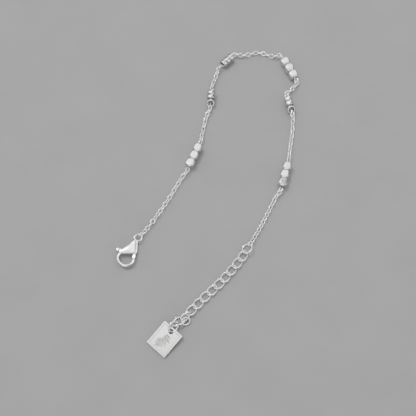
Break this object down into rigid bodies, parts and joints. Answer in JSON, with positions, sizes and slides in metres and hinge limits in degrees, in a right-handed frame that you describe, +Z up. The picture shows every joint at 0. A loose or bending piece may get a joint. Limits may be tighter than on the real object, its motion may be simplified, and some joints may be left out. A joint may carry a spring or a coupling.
{
  "type": "beaded bracelet",
  "caption": "Fine steel chain bracelet with cube and ring beads, a lobster clasp, a curb-link extender and a small rectangular tag, lying open.",
  "frame": {"origin": "middle of the bracelet's outline on the surface that it lies on", "axes": "+Z up from the surface, +Y along the bracelet's long way from the tag towards the top of the bend, +X to the right of the picture"},
  "size_m": [0.0526, 0.0936, 0.0029],
  "materials": {
    "wire": "polished",
    "ring_bead": "polished",
    "cube_bead": "satin",
    "clasp": "polished",
    "tag": "satin"
  },
  "bodies": {
    "bracelet": {"clasp_body": "clasp", "chain_1": "wire", "chain_2": "wire", "chain_3": "wire", "chain_4": "wire", "chain_5": "wire", "chain_6": "wire", "chain_7": "wire", "group_a_cube_1": "cube_bead", "group_a_cube_2": "cube_bead", "group_a_cube_3": "cube_bead", "group_a_pin": "wire", "group_b_ring_1": "ring_bead", "group_b_ring_2": "ring_bead", "group_b_ring_3": "ring_bead", "group_b_pin": "wire", "group_c_ring_1": "ring_bead", "group_c_ring_2": "ring_bead", "group_c_ring_3": "ring_bead", "group_c_pin": "wire", "group_d_cube_1": "cube_bead", "group_d_cube_2": "cube_bead", "group_d_cube_3": "cube_bead", "group_d_pin": "wire", "group_e_ring_1": "ring_bead", "group_e_ring_2": "ring_bead", "group_e_ring_3": "ring_bead", "group_e_pin": "wire", "group_f_cube_1": "cube_bead", "group_f_cube_2": "cube_bead", "group_f_cube_3": "cube_bead", "group_f_pin": "wire", "joint_ring": "wire", "extender_1": "wire", "extender_2": "wire", "extender_3": "wire", "extender_4": "wire", "extender_5": "wire", "extender_6": "wire", "extender_7": "wire", "extender_8": "wire", "extender_9": "wire", "extender_10": "wire", "extender_11": "wire", "side_ring": "wire", "tag_ring": "wire", "tag": "tag"},
    "lever": {"clasp_lever": "clasp"}
  },
  "joints": [
    {"name": "lever_hinge", "type": "hinge", "parent": "bracelet", "child": "lever", "pos_m": [-0.02128, -0.01891, 0.001], "axis": [0, 0, -1], "range_deg": [0, 25], "stiffness_Nm_per_rad": 0.00001, "springref_deg": -1.15}
  ]
}
